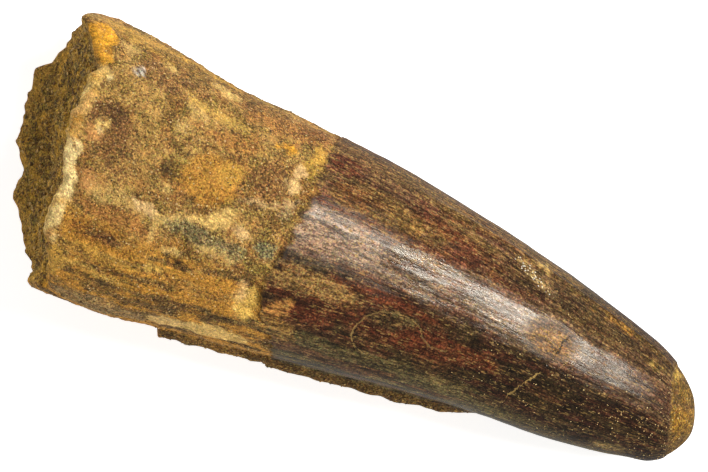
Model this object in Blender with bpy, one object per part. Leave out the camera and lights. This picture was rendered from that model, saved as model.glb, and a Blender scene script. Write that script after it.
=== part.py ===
"""A stout fossil spinosaur tooth lying on its side: enamelled crown, bare root and broken end, in one piece.

X runs along the tooth from the broken root to the worn tip, +Y is one flank and +Z is up. The tooth rests
on Z = 0, and the origin is under the middle of its bounding box. Angles go round the tooth from +Y (0) by
the top (90) and -Y (180) to the underside (270).
"""

import math
from collections import namedtuple

import bmesh
import bpy
import numpy as np
from mathutils import Vector, noise

MM = 0.001

# Sections through the tooth, in millimetres: at X, how far it reaches towards +Y, -Y, up and down
Section = namedtuple("Section", "x left right top bottom")
SECTIONS = [
    Section(-40.0, 14.2, -14.3, 25.3, 0.4),
    Section(-36.0, 14.4, -14.6, 25.5, 0.2),
    Section(-29.6, 14.5, -14.6, 25.6, 0.0),
    Section(-22.0, 13.7, -14.1, 25.0, 0.0),
    Section(-15.8, 13.3, -12.9, 24.1, 0.1),
    Section(-7.0, 13.0, -11.4, 22.5, 0.3),
    Section(0.0, 12.6, -10.2, 21.2, 0.5),
    Section(6.0, 11.9, -9.2, 19.9, 0.6),
    Section(12.4, 11.1, -8.2, 18.3, 0.6),
    Section(19.0, 10.0, -7.4, 16.4, 0.4),
    Section(25.2, 8.8, -7.0, 14.5, 0.1),
    Section(31.0, 7.4, -6.1, 12.4, 0.2),
    Section(34.5, 6.2, -5.3, 10.9, 0.8),
    Section(37.0, 4.8, -4.7, 9.5, 1.7),
    Section(38.9, 2.9, -3.1, 7.8, 3.1),
    Section(40.0, -0.3, -0.3, 5.4, 5.4),
]
ROOT_SQUARENESS = 2.45  # superellipse exponents: 2 is an ellipse
TIP_SQUARENESS = 2.05
REST_FLAT_DEPTH = 0.3  # how much is worn off the underside, where the tooth lies

# The broken root's rim: (angle, X). It slants, and bites are broken out of it
RIM = [
    (0, -35.9), (14, -36.3), (24, -36.2), (33, -35.0), (44, -33.0), (57, -32.9), (83, -32.5), (97, -31.4),
    (107, -30.9), (121, -31.0), (140, -29.2), (158, -28.9), (172, -29.8), (186, -30.7), (202, -31.2),
    (215, -32.6), (225, -34.1), (241, -37.0), (253, -37.1), (263, -38.8), (279, -39.4), (293, -40.0),
    (301, -39.7), (315, -38.0), (324, -37.8), (345, -36.5),
]
RIM_REACH = 26.0  # how far up the tooth the rings of the mesh still lean with the rim
RIM_ROUNDING = 0.8  # how far the broken edge is rounded over, along the tooth
RIM_DROP = 0.5  # and inwards, at the top
UNDERSIDE_RIM_DROP = 0.3

# The break itself, a granular slanting surface
BREAK_X = -34.0  # where it crosses the tooth's middle
BREAK_MIDDLE_HEIGHT = 12.5
BREAK_SLANT_Y, BREAK_SLANT_Z = -0.235, 0.24
BREAK_HOLLOW = 0.7
WALL_LIP = 0.4  # how far the root's wall stands out of the stone that fills it
WALL_THICKNESS = 0.08  # of the tooth's radius
RIM_TURN = 0.65  # how far out, of the radius, the break begins to turn up or down to its rim
BREAK_LUMPS, BREAK_LUMP_SIZE = 1.1, 4.5
CORNER_LUMP_ANGLE, CORNER_LUMP_WIDTH, CORNER_LUMP_HEIGHT = 30, 16, 0.5
CORNER_LUMP_FADE = (2.0, 5.0)  # how far from the rim the lump sinks away

# The ragged base of the crown, where the enamel begins: (angle, X)
CROWN_X = -7.0
CROWN_EDGE = [
    (0, -6.8), (40, -7.0), (62, -6.9), (82, -7.3), (115, -7.8), (133, -6.9), (150, -4.8), (175, -4.2),
    (215, -5.6), (262, -7.2), (310, -6.2),
]
CROWN_EDGE_REACH = 6.0
ENAMEL_THICKNESS = 0.2

# The enamel is worn off the tip beyond a slanting plane: a point on it, and the way that it faces
TIP_WEAR_POINT = Vector((36.8, 0.8, 8.5))
TIP_WEAR_FACING = Vector((0.94, 0.32, 0.1)).normalized()

# A crust of stone and split enamel along the lower flank, which stands out of it as a ledge
LEDGE_HEIGHT = 1.45
LEDGE_START, LEDGE_FADE, LEDGE_END = -16.4, 12.5, 20.0
LEDGE_ANGLES = (185, 192, 206, 250)  # it rises, is full, begins to fall away, and is gone
LEDGE_LUMPS = 0.3

# The cutting edges, low ridges along the crown: (angle, X where it begins)
CARINAE = [(30, 0.0), (195, 14.0)]
CARINA_HEIGHT = 0.3
CARINA_WIDTH = 5.0  # degrees
CARINA_RISE = 8.0  # how long a ridge takes to reach its full height
CARINA_END = (33.0, 37.0)  # it fades out between these

# Broken-out hollows of the upper side: middle, half-length along the tooth, half-width and depth
Hollow = namedtuple("Hollow", "x y along across depth")
HOLLOWS = [
    Hollow(-8.9, -6.3, 1.9, 2.3, 0.55),
    Hollow(-8.9, 6.4, 1.6, 3.2, 0.3),
    Hollow(-19.7, 10.2, 3.6, 1.2, 0.35),
    Hollow(-24.6, 0.4, 2.2, 1.3, 0.3),
    Hollow(-30.2, -2.7, 1.3, 2.2, 0.4),
]

# Unevenness of the surface
ROOT_LUMPS, CROWN_LUMPS, LUMP_SIZE = 0.22, 0.07, 5.0

# How finely the solid is drawn
SEGMENTS = 72
RIM_RINGS = (0.0, 0.55, 1.3)  # millimetres from the rim
BODY_STEP = 1.65
CROWN_STEP = 0.12  # the two rings that make the step at the crown's edge lie this far off it
TIP_X, TIP_RINGS = 34.0, 10
BREAK_RINGS = (0.97, 0.92)  # shares of the way from the middle of the break to its rim
PATCH_SHARE = 0.86  # inside this share the break is a patch of squares, which has no fan of thin faces
CURVE_STEPS = 40  # between two sections

# Colours as linear RGB, with roughness
Finish = namedtuple("Finish", "name colour roughness")
FINISHES = (
    Finish("root_bone", (0.30, 0.165, 0.055), 0.8),
    Finish("enamel", (0.075, 0.032, 0.014), 0.3),
    Finish("stone_filling", (0.10, 0.058, 0.018), 0.95),
    Finish("worn_dentine", (0.26, 0.14, 0.03), 0.6),
)
ROOT, ENAMEL, STONE, WORN = range(len(FINISHES))
SHARP_EDGE = math.radians(35)


def smoothstep(low, high, value):
    t = min(1.0, max(0.0, (value - low) / (high - low)))
    return t * t * (3 - 2 * t)


def catmull_rom(a, b, c, d, t):
    """The smooth curve from b to c that heads for its neighbours a and d, at the share t of the way."""
    bend = 2 * a - 5 * b + 4 * c - d
    twist = 3 * b - a - 3 * c + d
    return b + 0.5 * ((c - a) * t + bend * t ** 2 + twist * t ** 3)


def lofted_sections():
    """Many sections on smooth curves through the given ones, as columns. They close round at the tip."""
    given = np.array(SECTIONS)
    before = 2 * given[0] - given[1]
    tip, neck = given[-1], given[-2]
    after = 2 * tip - neck
    after[0] = neck[0]
    points = np.vstack([before, given, after])
    rows = [
        catmull_rom(*points[index:index + 4], step / CURVE_STEPS)
        for index in range(len(given) - 1)
        for step in range(CURVE_STEPS)
    ]
    return np.array([*rows, tip]).T


LOFT = lofted_sections()


def section_at(x):
    return Section(x, *(float(np.interp(x, LOFT[0], column)) for column in LOFT[1:]))


def around(points, angle):
    """The value at an angle of a closed smooth curve through (angle, value) points."""
    count = len(points)
    index = max(i for i in range(count) if points[i][0] <= angle % 360)
    near = [points[(index + k) % count][1] for k in (-1, 0, 1, 2)]
    start, end = points[index][0], points[(index + 1) % count][0]
    return catmull_rom(*near, (angle % 360 - start) / ((end - start) % 360))


def lumps(point, size):
    return noise.fractal(Vector(point) / size, 1.0, 2.0, 3)


def ledge(x, angle, z):
    rise, full, fall, gone = LEDGE_ANGLES
    section = smoothstep(rise, full, angle) * (1 - smoothstep(fall, gone, angle))
    length = smoothstep(LEDGE_START - 0.4, LEDGE_START + 0.5, x) * (1 - smoothstep(LEDGE_FADE, LEDGE_END, x))
    return section * length * (LEDGE_HEIGHT + LEDGE_LUMPS * lumps((x, 0, z), 3.0))


def carinae(x, angle):
    ridge = 0.0
    for edge, start in CARINAE:
        away = abs((angle - edge + 180) % 360 - 180) / CARINA_WIDTH
        length = smoothstep(start, start + CARINA_RISE, x) * (1 - smoothstep(*CARINA_END, x))
        ridge += max(0.0, 1 - away) * length
    return CARINA_HEIGHT * ridge


def hollowed(x, y):
    """The depth of the broken-out hollows."""
    deepest = 0.0
    for hollow in HOLLOWS:
        away = math.hypot((x - hollow.x) / hollow.along, (y - hollow.y) / hollow.across)
        deepest = max(deepest, hollow.depth * (1 - smoothstep(0.5, 1.0, away)))
    return deepest


def worn_edge(from_rim, angle):
    """How far the surface falls below the root's full section at the broken edge."""
    height = 0.5 + 0.5 * math.sin(math.radians(angle))
    drop = UNDERSIDE_RIM_DROP + (RIM_DROP - UNDERSIDE_RIM_DROP) * height
    drop *= max(0.0, 1 - from_rim / RIM_ROUNDING) ** 2
    corner = max(0.0, 1 - abs(angle - CORNER_LUMP_ANGLE) / CORNER_LUMP_WIDTH)
    return drop - CORNER_LUMP_HEIGHT * corner * (1 - smoothstep(*CORNER_LUMP_FADE, from_rim))


def leaning_x(ring_x, angle):
    """Where a ring crosses an angle: rings follow the rim at one end and the crown's edge further on."""
    to_rim = around(RIM, angle) - SECTIONS[0].x
    to_edge = around(CROWN_EDGE, angle) - CROWN_X
    near_rim = max(0.0, 1 - (ring_x - SECTIONS[0].x) / RIM_REACH)
    near_edge = max(0.0, 1 - abs(ring_x - CROWN_X) / CROWN_EDGE_REACH)
    return ring_x + to_rim * near_rim + to_edge * near_edge


def surface_point(ring_x, angle):
    """The point on the tooth's side where a ring crosses an angle."""
    x = leaning_x(ring_x, angle)
    form = section_at(x)
    half_width, half_height = (form.left - form.right) / 2, (form.top - form.bottom) / 2
    across, up = math.cos(math.radians(angle)), math.sin(math.radians(angle))
    along = (x - SECTIONS[0].x) / (SECTIONS[-1].x - SECTIONS[0].x)
    power = ROOT_SQUARENESS + (TIP_SQUARENESS - ROOT_SQUARENESS) * along
    reach = (abs(across / half_width) ** power + abs(up / half_height) ** power) ** (-1 / power)
    middle = Vector((x, (form.left + form.right) / 2, (form.top + form.bottom) / 2))
    outward = Vector((0, across, up))
    point = middle + reach * outward

    on_crown = smoothstep(-0.1, 0.1, x - around(CROWN_EDGE, angle))
    off_tip = 1 - smoothstep(-0.3, 0.3, TIP_WEAR_FACING.dot(point - TIP_WEAR_POINT))
    grow = ENAMEL_THICKNESS * on_crown * off_tip
    grow += (ROOT_LUMPS + (CROWN_LUMPS - ROOT_LUMPS) * on_crown) * lumps(point, LUMP_SIZE)
    grow += ledge(x, angle, point.z) + carinae(x, angle)
    grow -= worn_edge(x - around(RIM, angle), angle)
    if up > 0:
        grow -= hollowed(point.x, point.y)
    return point + grow * min(1.0, reach / 3) * outward


def break_plane(point):
    return BREAK_X + BREAK_SLANT_Y * point.y + BREAK_SLANT_Z * (point.z - BREAK_MIDDLE_HEIGHT)


def break_point(angle, middle, share):
    """A point on the rough break, a share of the way from its middle to the rim at an angle."""
    rim_point = surface_point(SECTIONS[0].x, angle)
    point = middle.lerp(rim_point, share)
    rim_rise = rim_point.x - break_plane(rim_point)
    point.x = break_plane(point) + rim_rise * smoothstep(RIM_TURN, 1, share)
    point.x += BREAK_HOLLOW * (1 - share ** 2)
    point.x += WALL_LIP * (1 - smoothstep(1 - WALL_THICKNESS, 1, share))
    point.x += BREAK_LUMPS * (1 - share ** 6) * lumps((0, point.y, point.z), BREAK_LUMP_SIZE)
    return point


def laid_flat(point):
    """The point with the underside worn flat where the tooth lies, in metres."""
    return Vector((point.x, point.y, max(0.0, point.z - REST_FLAT_DEPTH))) * MM


def ring_places():
    """Where the rings stand along X. They crowd at the rim, the crown's edge and the round tip."""
    rim = SECTIONS[0].x
    places = [rim + step for step in RIM_RINGS]
    root_end, crown_start = CROWN_X - CROWN_STEP, CROWN_X + CROWN_STEP
    root = np.linspace(places[-1], root_end, round((root_end - places[-1]) / BODY_STEP) + 1)
    crown = np.linspace(crown_start, TIP_X, round((TIP_X - crown_start) / BODY_STEP) + 1)
    turn = np.linspace(0, math.pi / 2, TIP_RINGS + 1)[1:-1]
    tip = TIP_X + (SECTIONS[-1].x - TIP_X) * np.sin(turn)
    return [float(x) for x in (*places[:-1], *root, *crown, *tip)]


def join_rings(bm, first, second):
    for j in range(SEGMENTS):
        k = (j + 1) % SEGMENTS
        bm.faces.new((first[j], first[k], second[k], second[j]))


def close_ring(bm, ring, middle):
    for j in range(SEGMENTS):
        bm.faces.new((ring[j], ring[(j + 1) % SEGMENTS], middle))


def patch_angle(i, j):
    """The angle of a corner of the patch, whose squares lie in rings round its middle."""
    ring = max(abs(i), abs(j))
    if ring == 0:
        return 0.0
    if i == ring:
        steps = j % (8 * ring)
    elif j == ring:
        steps = 2 * ring - i
    elif i == -ring:
        steps = 4 * ring - j
    else:
        steps = 6 * ring + i
    return 360 * steps / (8 * ring)


def close_with_patch(bm, ring, middle):
    """Fills a ring with squares, as many along each side as a quarter of the ring has faces."""
    half = SEGMENTS // 8
    corners = {}
    for i in range(-half, half + 1):
        for j in range(-half, half + 1):
            angle = patch_angle(i, j)
            if max(abs(i), abs(j)) == half:
                corners[i, j] = ring[round(angle * SEGMENTS / 360) % SEGMENTS]
            else:
                share = PATCH_SHARE * max(abs(i), abs(j)) / half
                corners[i, j] = bm.verts.new(laid_flat(break_point(angle, middle, share)))
    for i in range(-half, half):
        for j in range(-half, half):
            bm.faces.new((corners[i, j], corners[i + 1, j], corners[i + 1, j + 1], corners[i, j + 1]))


def side_finish(face):
    """Which of the tooth's finishes a face of its side has, as its place in the list of materials."""
    point = face.calc_center_median() / MM
    if TIP_WEAR_FACING.dot(point - TIP_WEAR_POINT) > 0:
        return WORN
    form = section_at(point.x)
    up, across = point.z - (form.top + form.bottom) / 2, point.y - (form.left + form.right) / 2
    return ENAMEL if point.x > around(CROWN_EDGE, math.degrees(math.atan2(up, across))) else ROOT


def material(finish):
    made = bpy.data.materials.new(finish.name)
    made.use_nodes = True
    shader = made.node_tree.nodes["Principled BSDF"]
    shader.inputs["Base Color"].default_value = (*finish.colour, 1)
    shader.inputs["Roughness"].default_value = finish.roughness
    shader.inputs["Metallic"].default_value = 0
    return made


def make_tooth():
    angles = [360 * j / SEGMENTS for j in range(SEGMENTS)]
    sides = [[surface_point(ring_x, angle) for angle in angles] for ring_x in ring_places()]
    middle = sum(sides[0], Vector()) / SEGMENTS
    shares = (*BREAK_RINGS, PATCH_SHARE)
    broken = [[break_point(angle, middle, share) for angle in angles] for share in shares]
    tip = Vector((SECTIONS[-1].x, SECTIONS[-1].left, SECTIONS[-1].top))

    bm = bmesh.new()
    rings = [[bm.verts.new(laid_flat(point)) for point in ring] for ring in sides]
    for first, second in zip(rings, rings[1:]):
        join_rings(bm, first, second)
    close_ring(bm, rings[-1], bm.verts.new(laid_flat(tip)))
    for face in bm.faces:
        face.material_index = side_finish(face)
    side_count = len(bm.faces)
    inner = rings[0]
    for points in broken:
        outer, inner = inner, [bm.verts.new(laid_flat(point)) for point in points]
        join_rings(bm, outer, inner)
    close_with_patch(bm, inner, middle)
    bm.faces.ensure_lookup_table()
    for face in bm.faces[side_count:]:
        face.material_index = STONE
    bmesh.ops.recalc_face_normals(bm, faces=bm.faces)

    mesh = bpy.data.meshes.new("tooth")
    bm.to_mesh(mesh)
    bm.free()
    for finish in FINISHES:
        mesh.materials.append(material(finish))
    mesh.shade_smooth()
    mesh.set_sharp_from_angle(angle=SHARP_EDGE)
    tooth = bpy.data.objects.new("tooth", mesh)
    bpy.context.scene.collection.objects.link(tooth)
    return tooth


def main():
    for thing in list(bpy.data.objects):
        bpy.data.objects.remove(thing)
    make_tooth()


main()
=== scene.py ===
"""The looks of a fossil spinosaur tooth that lies on its side and is seen from straight above."""

import math
from collections import namedtuple

import bpy
import numpy as np
from mathutils import Matrix, Vector, noise


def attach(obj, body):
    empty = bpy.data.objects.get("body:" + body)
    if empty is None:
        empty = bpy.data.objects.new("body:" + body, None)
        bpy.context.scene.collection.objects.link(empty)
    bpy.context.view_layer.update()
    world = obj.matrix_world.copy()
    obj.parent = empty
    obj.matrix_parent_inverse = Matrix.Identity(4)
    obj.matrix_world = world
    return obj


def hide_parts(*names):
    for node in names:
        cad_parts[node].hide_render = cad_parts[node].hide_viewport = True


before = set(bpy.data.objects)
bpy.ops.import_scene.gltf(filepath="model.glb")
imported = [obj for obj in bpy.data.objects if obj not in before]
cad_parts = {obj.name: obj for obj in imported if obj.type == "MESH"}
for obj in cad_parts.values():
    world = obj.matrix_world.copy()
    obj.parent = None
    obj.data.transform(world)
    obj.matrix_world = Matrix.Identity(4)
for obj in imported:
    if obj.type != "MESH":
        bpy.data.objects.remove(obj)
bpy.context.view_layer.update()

MM = 0.001

# The solid's form, as the CAD has it, in millimetres and degrees
Section = namedtuple("Section", "x left right top bottom")
SECTIONS = [
    Section(-40.0, 14.2, -14.3, 25.3, 0.4),
    Section(-36.0, 14.4, -14.6, 25.5, 0.2),
    Section(-29.6, 14.5, -14.6, 25.6, 0.0),
    Section(-22.0, 13.7, -14.1, 25.0, 0.0),
    Section(-15.8, 13.3, -12.9, 24.1, 0.1),
    Section(-7.0, 13.0, -11.4, 22.5, 0.3),
    Section(0.0, 12.6, -10.2, 21.2, 0.5),
    Section(6.0, 11.9, -9.2, 19.9, 0.6),
    Section(12.4, 11.1, -8.2, 18.3, 0.6),
    Section(19.0, 10.0, -7.4, 16.4, 0.4),
    Section(25.2, 8.8, -7.0, 14.5, 0.1),
    Section(31.0, 7.4, -6.1, 12.4, 0.2),
    Section(34.5, 6.2, -5.3, 10.9, 0.8),
    Section(37.0, 4.8, -4.7, 9.5, 1.7),
    Section(38.9, 2.9, -3.1, 7.8, 3.1),
    Section(40.0, -0.3, -0.3, 5.4, 5.4),
]
ROOT_SQUARENESS, TIP_SQUARENESS = 2.45, 2.05
REST_FLAT_DEPTH = 0.3
RIM = [
    (0, -35.9), (14, -36.3), (24, -36.2), (33, -35.0), (44, -33.0), (57, -32.9), (83, -32.5), (97, -31.4),
    (107, -30.9), (121, -31.0), (140, -29.2), (158, -28.9), (172, -29.8), (186, -30.7), (202, -31.2),
    (215, -32.6), (225, -34.1), (241, -37.0), (253, -37.1), (263, -38.8), (279, -39.4), (293, -40.0),
    (301, -39.7), (315, -38.0), (324, -37.8), (345, -36.5),
]
RIM_REACH, RIM_ROUNDING = 26.0, 0.8
RIM_DROP, UNDERSIDE_RIM_DROP = 0.5, 0.3
BREAK_X, BREAK_MIDDLE_HEIGHT = -34.0, 12.5
BREAK_SLANT_Y, BREAK_SLANT_Z = -0.235, 0.24
BREAK_HOLLOW, WALL_LIP, WALL_THICKNESS, RIM_TURN = 0.7, 0.4, 0.08, 0.65
BREAK_LUMPS, BREAK_LUMP_SIZE = 1.1, 4.5
CORNER_LUMP_ANGLE, CORNER_LUMP_WIDTH, CORNER_LUMP_HEIGHT = 30, 16, 0.5
CORNER_LUMP_FADE = (2.0, 5.0)
CROWN_X = -7.0
CROWN_EDGE = [
    (0, -6.8), (40, -7.0), (62, -6.9), (82, -7.3), (115, -7.8), (133, -6.9), (150, -4.8), (175, -4.2),
    (215, -5.6), (262, -7.2), (310, -6.2),
]
CROWN_EDGE_REACH, ENAMEL_THICKNESS = 6.0, 0.2
TIP_WEAR_POINT = np.array([36.8, 0.8, 8.5])
TIP_WEAR_FACING = np.array([0.94, 0.32, 0.1])
LEDGE_HEIGHT, LEDGE_LUMPS, LEDGE_LUMP_SIZE = 1.45, 0.3, 3.0
LEDGE_START, LEDGE_FADE, LEDGE_END = -16.4, 12.5, 20.0
LEDGE_STEP = (-0.4, 0.5)  # it steps up to its height this close to its start
LEDGE_ANGLES = (185, 192, 206, 250)
CARINAE = [(30, 0.0), (195, 14.0)]
CARINA_HEIGHT, CARINA_WIDTH, CARINA_RISE = 0.3, 5.0, 8.0
CARINA_END = (33.0, 37.0)
Hollow = namedtuple("Hollow", "x y along across depth")
HOLLOWS = [
    Hollow(-8.9, -6.3, 1.9, 2.3, 0.55),
    Hollow(-8.9, 6.4, 1.6, 3.2, 0.3),
    Hollow(-19.7, 10.2, 3.6, 1.2, 0.35),
    Hollow(-24.6, 0.4, 2.2, 1.3, 0.3),
    Hollow(-30.2, -2.7, 1.3, 2.2, 0.4),
]
ROOT_LUMPS, CROWN_LUMPS, LUMP_SIZE = 0.22, 0.07, 5.0

# How finely the surface is drawn
SEGMENTS = 320
BODY_STEP = 0.3
TIP_X, TIP_RINGS = 34.0, 32
CROWN_STEP = 0.07
BREAK_RINGS = (0.985, 0.965, 0.94, 0.915, 0.89)
PATCH_SHARE = 0.865
CURVE_STEPS = 40

# Chips of the two broken edges: height in millimetres, width in degrees, and a seed
RIM_CHIPS = (0.6, 8.0, 3.0)
ENAMEL_CHIPS = (0.8, 6.0, 8.0)

# Fine relief, in millimetres: height and size
TIP_CHIPS = (0.3, 1.4)
ROOT_GRAIN = (0.12, 0.8)
ROOT_FIBRES, CROWN_FIBRES, FIBRE_SIZE = 0.12, 0.02, 0.6
BREAK_GRAIN = (0.4, 0.6)
FIBRE_STRETCH = 9.0
FLOW_RADIUS = 10.0  # fibres are drawn on a straight rod of this radius, so they narrow with the tooth
SMOOTH_RIM = (0.8, 2.2)  # the root's fine relief comes in between these distances from the rim
SETTLED_REACH = 3.0  # relief is lower where the tooth's own radius is less than this
# A flat strip along the top of the crown, by the way round, that catches the light
FACET, FACET_DEPTH, FACET_FADE = (-2.0, 3.3), 0.09, (28, 36)
FACET_PEAK = 27 / 4  # makes the curve of its section 1 where it is deepest

# Sand that clings to the tooth: how many grains, their least and greatest radius, and their colours
Sand = namedtuple("Sand", "number radius colours")
GRAIN_KINDS = {
    "break": Sand(1600, (0.1, 0.24), ["sandstone", "golden", "olive", "straw", "ochre", "brown"]),
    "root": Sand(700, (0.06, 0.14), ["golden", "straw", "rust", "cream", "olive", "dark"]),
    "crust": Sand(250, (0.08, 0.18), ["ochre", "golden", "straw", "dark"]),
    "enamel": Sand(280, (0.03, 0.085), ["pale", "straw", "cream"]),
    "patch": Sand(44, (0.06, 0.12), ["pale", "white"]),
}
GRAIN_LIFT, GRAIN_HEIGHT = 0.15, 0.45  # of a grain's radius
GRAIN_SHIFT = 0.18  # how far a grain may lie off its vertex
GRAIN_CLEARANCE = 0.6  # no grain lies lower than this, so that the tooth still rests on itself
# A grain's corners: how many, and how far out and how far up or down they are, of its radius
GRAIN_CORNERS, CORNER_REACH, CORNER_LIFT = 6, (0.75, 1.15), 0.12
GRAIN_BRIGHTNESS = (0.7, 1.15)
CHANCE = np.random.default_rng(5)

# Places on the enamel by X and way round, with half their length and width, and their slant
Spot = namedtuple("Spot", "x round length width slant")
GRAIN_SPOT = Spot(17.2, 7.2, 2.6, 0.55, -0.5)
DUSTY_SPOT = Spot(22.0, 1.4, 3.0, 2.0, 0.0)
DULL_SPOT = Spot(21.6, 1.6, 3.4, 2.4, 0.0)

# Cracks in the enamel: how pale their edges are, how much painted shade darkens their gap, and points as X
# and way round
Crack = namedtuple("Crack", "pale dark points")
CRACKS = [
    Crack(0.42, 0.5, [
        (2.6, -5.4), (2.9, -4.3), (4.2, -3.2), (5.8, -2.6), (7.6, -2.6), (8.8, -3.2), (9.3, -4.0),
    ]),
    Crack(0.6, 0.3, [(2.6, -5.4), (2.5, -6.8), (3.3, -7.9), (4.6, -8.3)]),
    Crack(0.25, 0.1, [(9.3, -4.0), (10.4, -4.6), (12.0, -4.4)]),
    Crack(0.1, 1.0, [(23.2, 2.4), (22.9, 1.9), (23.0, 0.9), (22.8, 0.5)]),
    Crack(0.1, 0.4, [(22.8, 0.5), (22.5, -0.6)]),
    Crack(0.8, 0.2, [(21.9, -2.4), (21.7, -3.0), (21.2, -3.7)]),
    Crack(0.55, 0.1, [(20.7, -4.6), (20.4, -5.4), (20.1, -6.0)]),
    Crack(0.35, 0.1, [(19.8, -7.2), (19.5, -8.2)]),
    Crack(0.3, 0.6, [(22.9, 0.9), (21.0, 1.4), (19.2, 0.9)]),
]
NO_CRACK = 9.0  # farther away than the look of any crack reaches
CRACK_REACH = (0.35, 0.7)  # its look fades out between these distances

# The camera looks straight down on the tooth
CAMERA_PLACE = Vector((-1.46, 4.105, 425.0))
CAMERA_TURN = math.radians(24.21)
LENS, SENSOR = 200.0, 36.0

# Light: a bright room, a glowing white floor and one large soft lamp
WORLD_LIGHT, FLOOR_GLOW, FLOOR_SIZE, FLOOR_GREY = 0.26, 0.78, 4.0, 0.9
KEY_RADIANCE, KEY_LENGTH, KEY_WIDTH, KEY_DISTANCE = 48.0, 0.4, 0.085, 0.6
KEY_TOWARDS_X, KEY_TOWARDS_Y = math.radians(31), math.radians(22)


def smoothstep(low, high, value):
    t = np.clip((value - low) / (high - low), 0, 1)
    return t * t * (3 - 2 * t)


def catmull_rom(a, b, c, d, t):
    bend = 2 * a - 5 * b + 4 * c - d
    twist = 3 * b - a - 3 * c + d
    return b + 0.5 * ((c - a) * t + bend * t ** 2 + twist * t ** 3)


def lofted_sections():
    given = np.array(SECTIONS)
    before = 2 * given[0] - given[1]
    tip, neck = given[-1], given[-2]
    after = 2 * tip - neck
    after[0] = neck[0]
    points = np.vstack([before, given, after])
    rows = [
        catmull_rom(*points[index:index + 4], step / CURVE_STEPS)
        for index in range(len(given) - 1)
        for step in range(CURVE_STEPS)
    ]
    return np.array([*rows, tip]).T


LOFT = lofted_sections()


def section_at(x):
    return Section(x, *(np.interp(x, LOFT[0], column) for column in LOFT[1:]))


WHOLE_DEGREES = np.arange(361)


def closed_curve(points):
    """A smooth closed curve through (angle, value) points, as a value for each whole degree."""
    count = len(points)
    values = []
    for angle in WHOLE_DEGREES:
        index = max(i for i in range(count) if points[i][0] <= angle % 360)
        near = [points[(index + k) % count][1] for k in (-1, 0, 1, 2)]
        start, end = points[index][0], points[(index + 1) % count][0]
        values.append(catmull_rom(*near, (angle % 360 - start) / ((end - start) % 360)))
    return np.array(values)


def fractal(point, octaves=3):
    """Noise at a point, where each octave is half as large and half as strong as the one before."""
    return noise.fractal(Vector(point), 1.0, 2.0, octaves)


def ragged_curve(points, height, width, seed):
    """A closed curve with the small chips of a broken edge: their height in millimetres, width in degrees."""
    turns = np.radians(WHOLE_DEGREES)
    reach = 180 / math.pi / width
    chips = [fractal((reach * math.cos(turn), reach * math.sin(turn), seed)) for turn in turns]
    return closed_curve(points) + height * np.array(chips)


RIM_CURVE = ragged_curve(RIM, *RIM_CHIPS)
CROWN_CURVE = ragged_curve(CROWN_EDGE, *ENAMEL_CHIPS)


def around(curve, angle):
    return np.interp(angle % 360, WHOLE_DEGREES, curve)


def lumps(points, size, octaves=3):
    """Fractal noise with lumps of a size in millimetres, a value for each point."""
    flat = np.reshape(points, (-1, 3)) / size
    values = [fractal(point, octaves) for point in flat]
    return np.reshape(values, np.shape(points)[:-1])


def stack(x, y, z):
    return np.stack(np.broadcast_arrays(x, y, z), axis=-1)


def shortened(flow, times):
    """Places drawn together along the fibres, so that noise made from them is stretched that much."""
    return flow / np.array([times, 1, 1])


def away_from(spot, x, round_way):
    """How far places are from the middle of a spot, as a share of the way to its edge."""
    aside = round_way - spot.round - spot.slant * (x - spot.x)
    return np.hypot((x - spot.x) / spot.length, aside / spot.width)


def ledge(x, angle, z):
    rise, full, fall, gone = LEDGE_ANGLES
    section = smoothstep(rise, full, angle) * (1 - smoothstep(fall, gone, angle))
    start = smoothstep(LEDGE_START + LEDGE_STEP[0], LEDGE_START + LEDGE_STEP[1], x)
    length = start * (1 - smoothstep(LEDGE_FADE, LEDGE_END, x))
    height = LEDGE_HEIGHT + LEDGE_LUMPS * lumps(stack(x, 0.0, z), LEDGE_LUMP_SIZE)
    return section * length * height


def carinae(x, angle):
    ridge = 0.0
    before_end = 1 - smoothstep(*CARINA_END, x)
    for edge, start in CARINAE:
        away = np.abs((angle - edge + 180) % 360 - 180) / CARINA_WIDTH
        ridge = ridge + np.maximum(0, 1 - away) * smoothstep(start, start + CARINA_RISE, x) * before_end
    return CARINA_HEIGHT * ridge


def hollowed(x, y):
    deepest = np.zeros(np.shape(x))
    for hollow in HOLLOWS:
        away = np.hypot((x - hollow.x) / hollow.along, (y - hollow.y) / hollow.across)
        deepest = np.maximum(deepest, hollow.depth * (1 - smoothstep(0.5, 1.0, away)))
    return deepest


def worn_edge(from_rim, angle):
    height = 0.5 + 0.5 * np.sin(np.radians(angle))
    drop = UNDERSIDE_RIM_DROP + (RIM_DROP - UNDERSIDE_RIM_DROP) * height
    drop = drop * np.maximum(0, 1 - from_rim / RIM_ROUNDING) ** 2
    corner = np.maximum(0, 1 - np.abs(angle - CORNER_LUMP_ANGLE) / CORNER_LUMP_WIDTH)
    return drop - CORNER_LUMP_HEIGHT * corner * (1 - smoothstep(*CORNER_LUMP_FADE, from_rim))


def leaning_x(ring_x, angle):
    to_rim = around(RIM_CURVE, angle) - SECTIONS[0].x
    to_edge = around(CROWN_CURVE, angle) - CROWN_X
    near_rim = np.maximum(0, 1 - (ring_x - SECTIONS[0].x) / RIM_REACH)
    near_edge = np.maximum(0, 1 - np.abs(ring_x - CROWN_X) / CROWN_EDGE_REACH)
    return ring_x + to_rim * near_rim + to_edge * near_edge


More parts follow.
